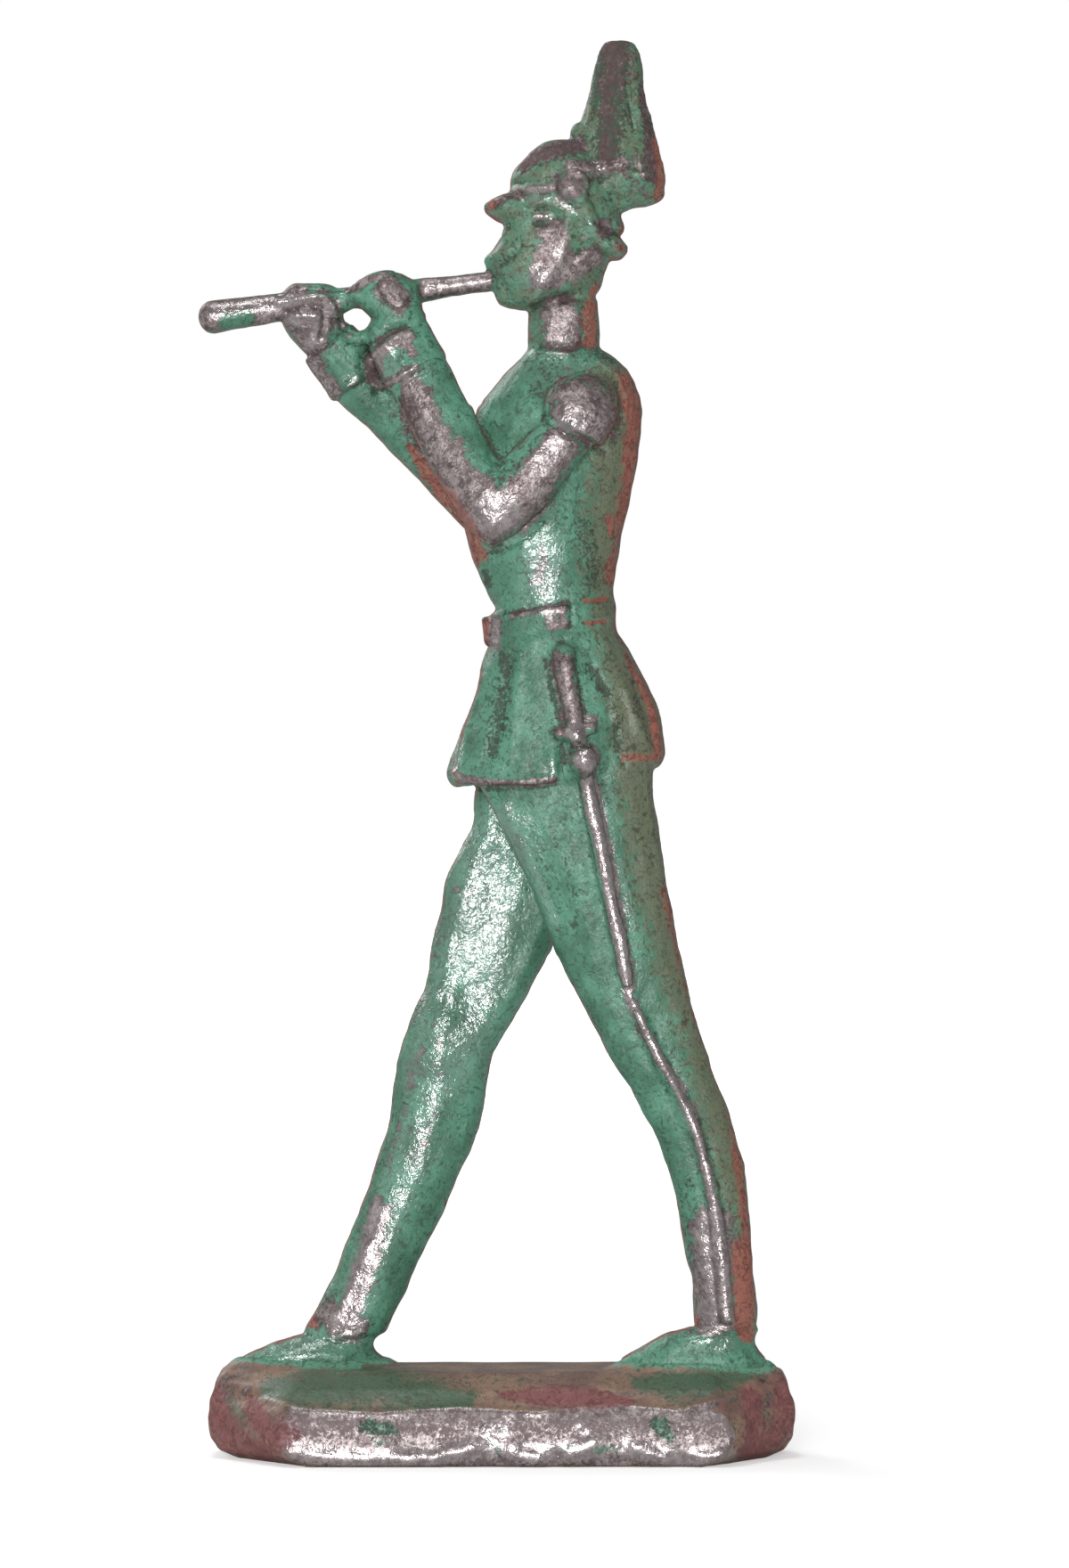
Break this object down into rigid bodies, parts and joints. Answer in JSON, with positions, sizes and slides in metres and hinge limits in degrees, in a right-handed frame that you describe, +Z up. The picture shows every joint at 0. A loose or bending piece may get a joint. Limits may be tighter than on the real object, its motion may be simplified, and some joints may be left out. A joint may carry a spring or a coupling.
{
  "type": "toy soldier figure",
  "caption": "Semi-round cast-metal marching fifer in a plumed helmet, tunic and sword, standing on a long eight-sided base, worn green paint.",
  "frame": {"origin": "centre of the flat underside of the base plate, on the plane where the mould parts", "axes": "+Z up from the ground to the plume; the figure marches and faces along -X; its left side, which carries the sword, faces -Y"},
  "size_m": [0.0281, 0.0116, 0.0667],
  "materials": {
    "green_paint": "gloss, worn",
    "cast_metal": "as-cast, dull grey tin-lead alloy",
    "base_earth": "gloss, worn"
  },
  "bodies": {
    "root": {"base_plate": "base_earth", "right_boot": "green_paint", "left_boot": "green_paint", "right_shin": "green_paint", "left_shin": "cast_metal", "right_thigh": "green_paint", "left_thigh": "green_paint", "right_piping": "green_paint", "left_piping": "green_paint", "tunic_skirt": "green_paint", "waist_belt": "cast_metal", "belt_buckle": "cast_metal", "tunic_body": "green_paint", "tunic_collar": "cast_metal", "head": "cast_metal", "helmet_shell": "green_paint", "helmet_peak": "green_paint", "neck_guard": "green_paint", "right_rosette": "green_paint", "left_rosette": "green_paint", "right_chin_strap": "green_paint", "left_chin_strap": "green_paint", "plume_socket": "cast_metal", "plume": "green_paint", "right_shoulder_wing": "green_paint", "left_shoulder_wing": "green_paint", "right_upper_arm": "green_paint", "left_upper_arm": "green_paint", "right_forearm": "green_paint", "left_forearm": "green_paint", "right_cuff": "green_paint", "left_cuff": "green_paint", "right_hand": "cast_metal", "left_hand": "cast_metal", "fife": "cast_metal", "sword_grip": "cast_metal", "crossguard": "cast_metal", "sword_knot": "cast_metal", "scabbard": "cast_metal"}
  },
  "joints": []
}
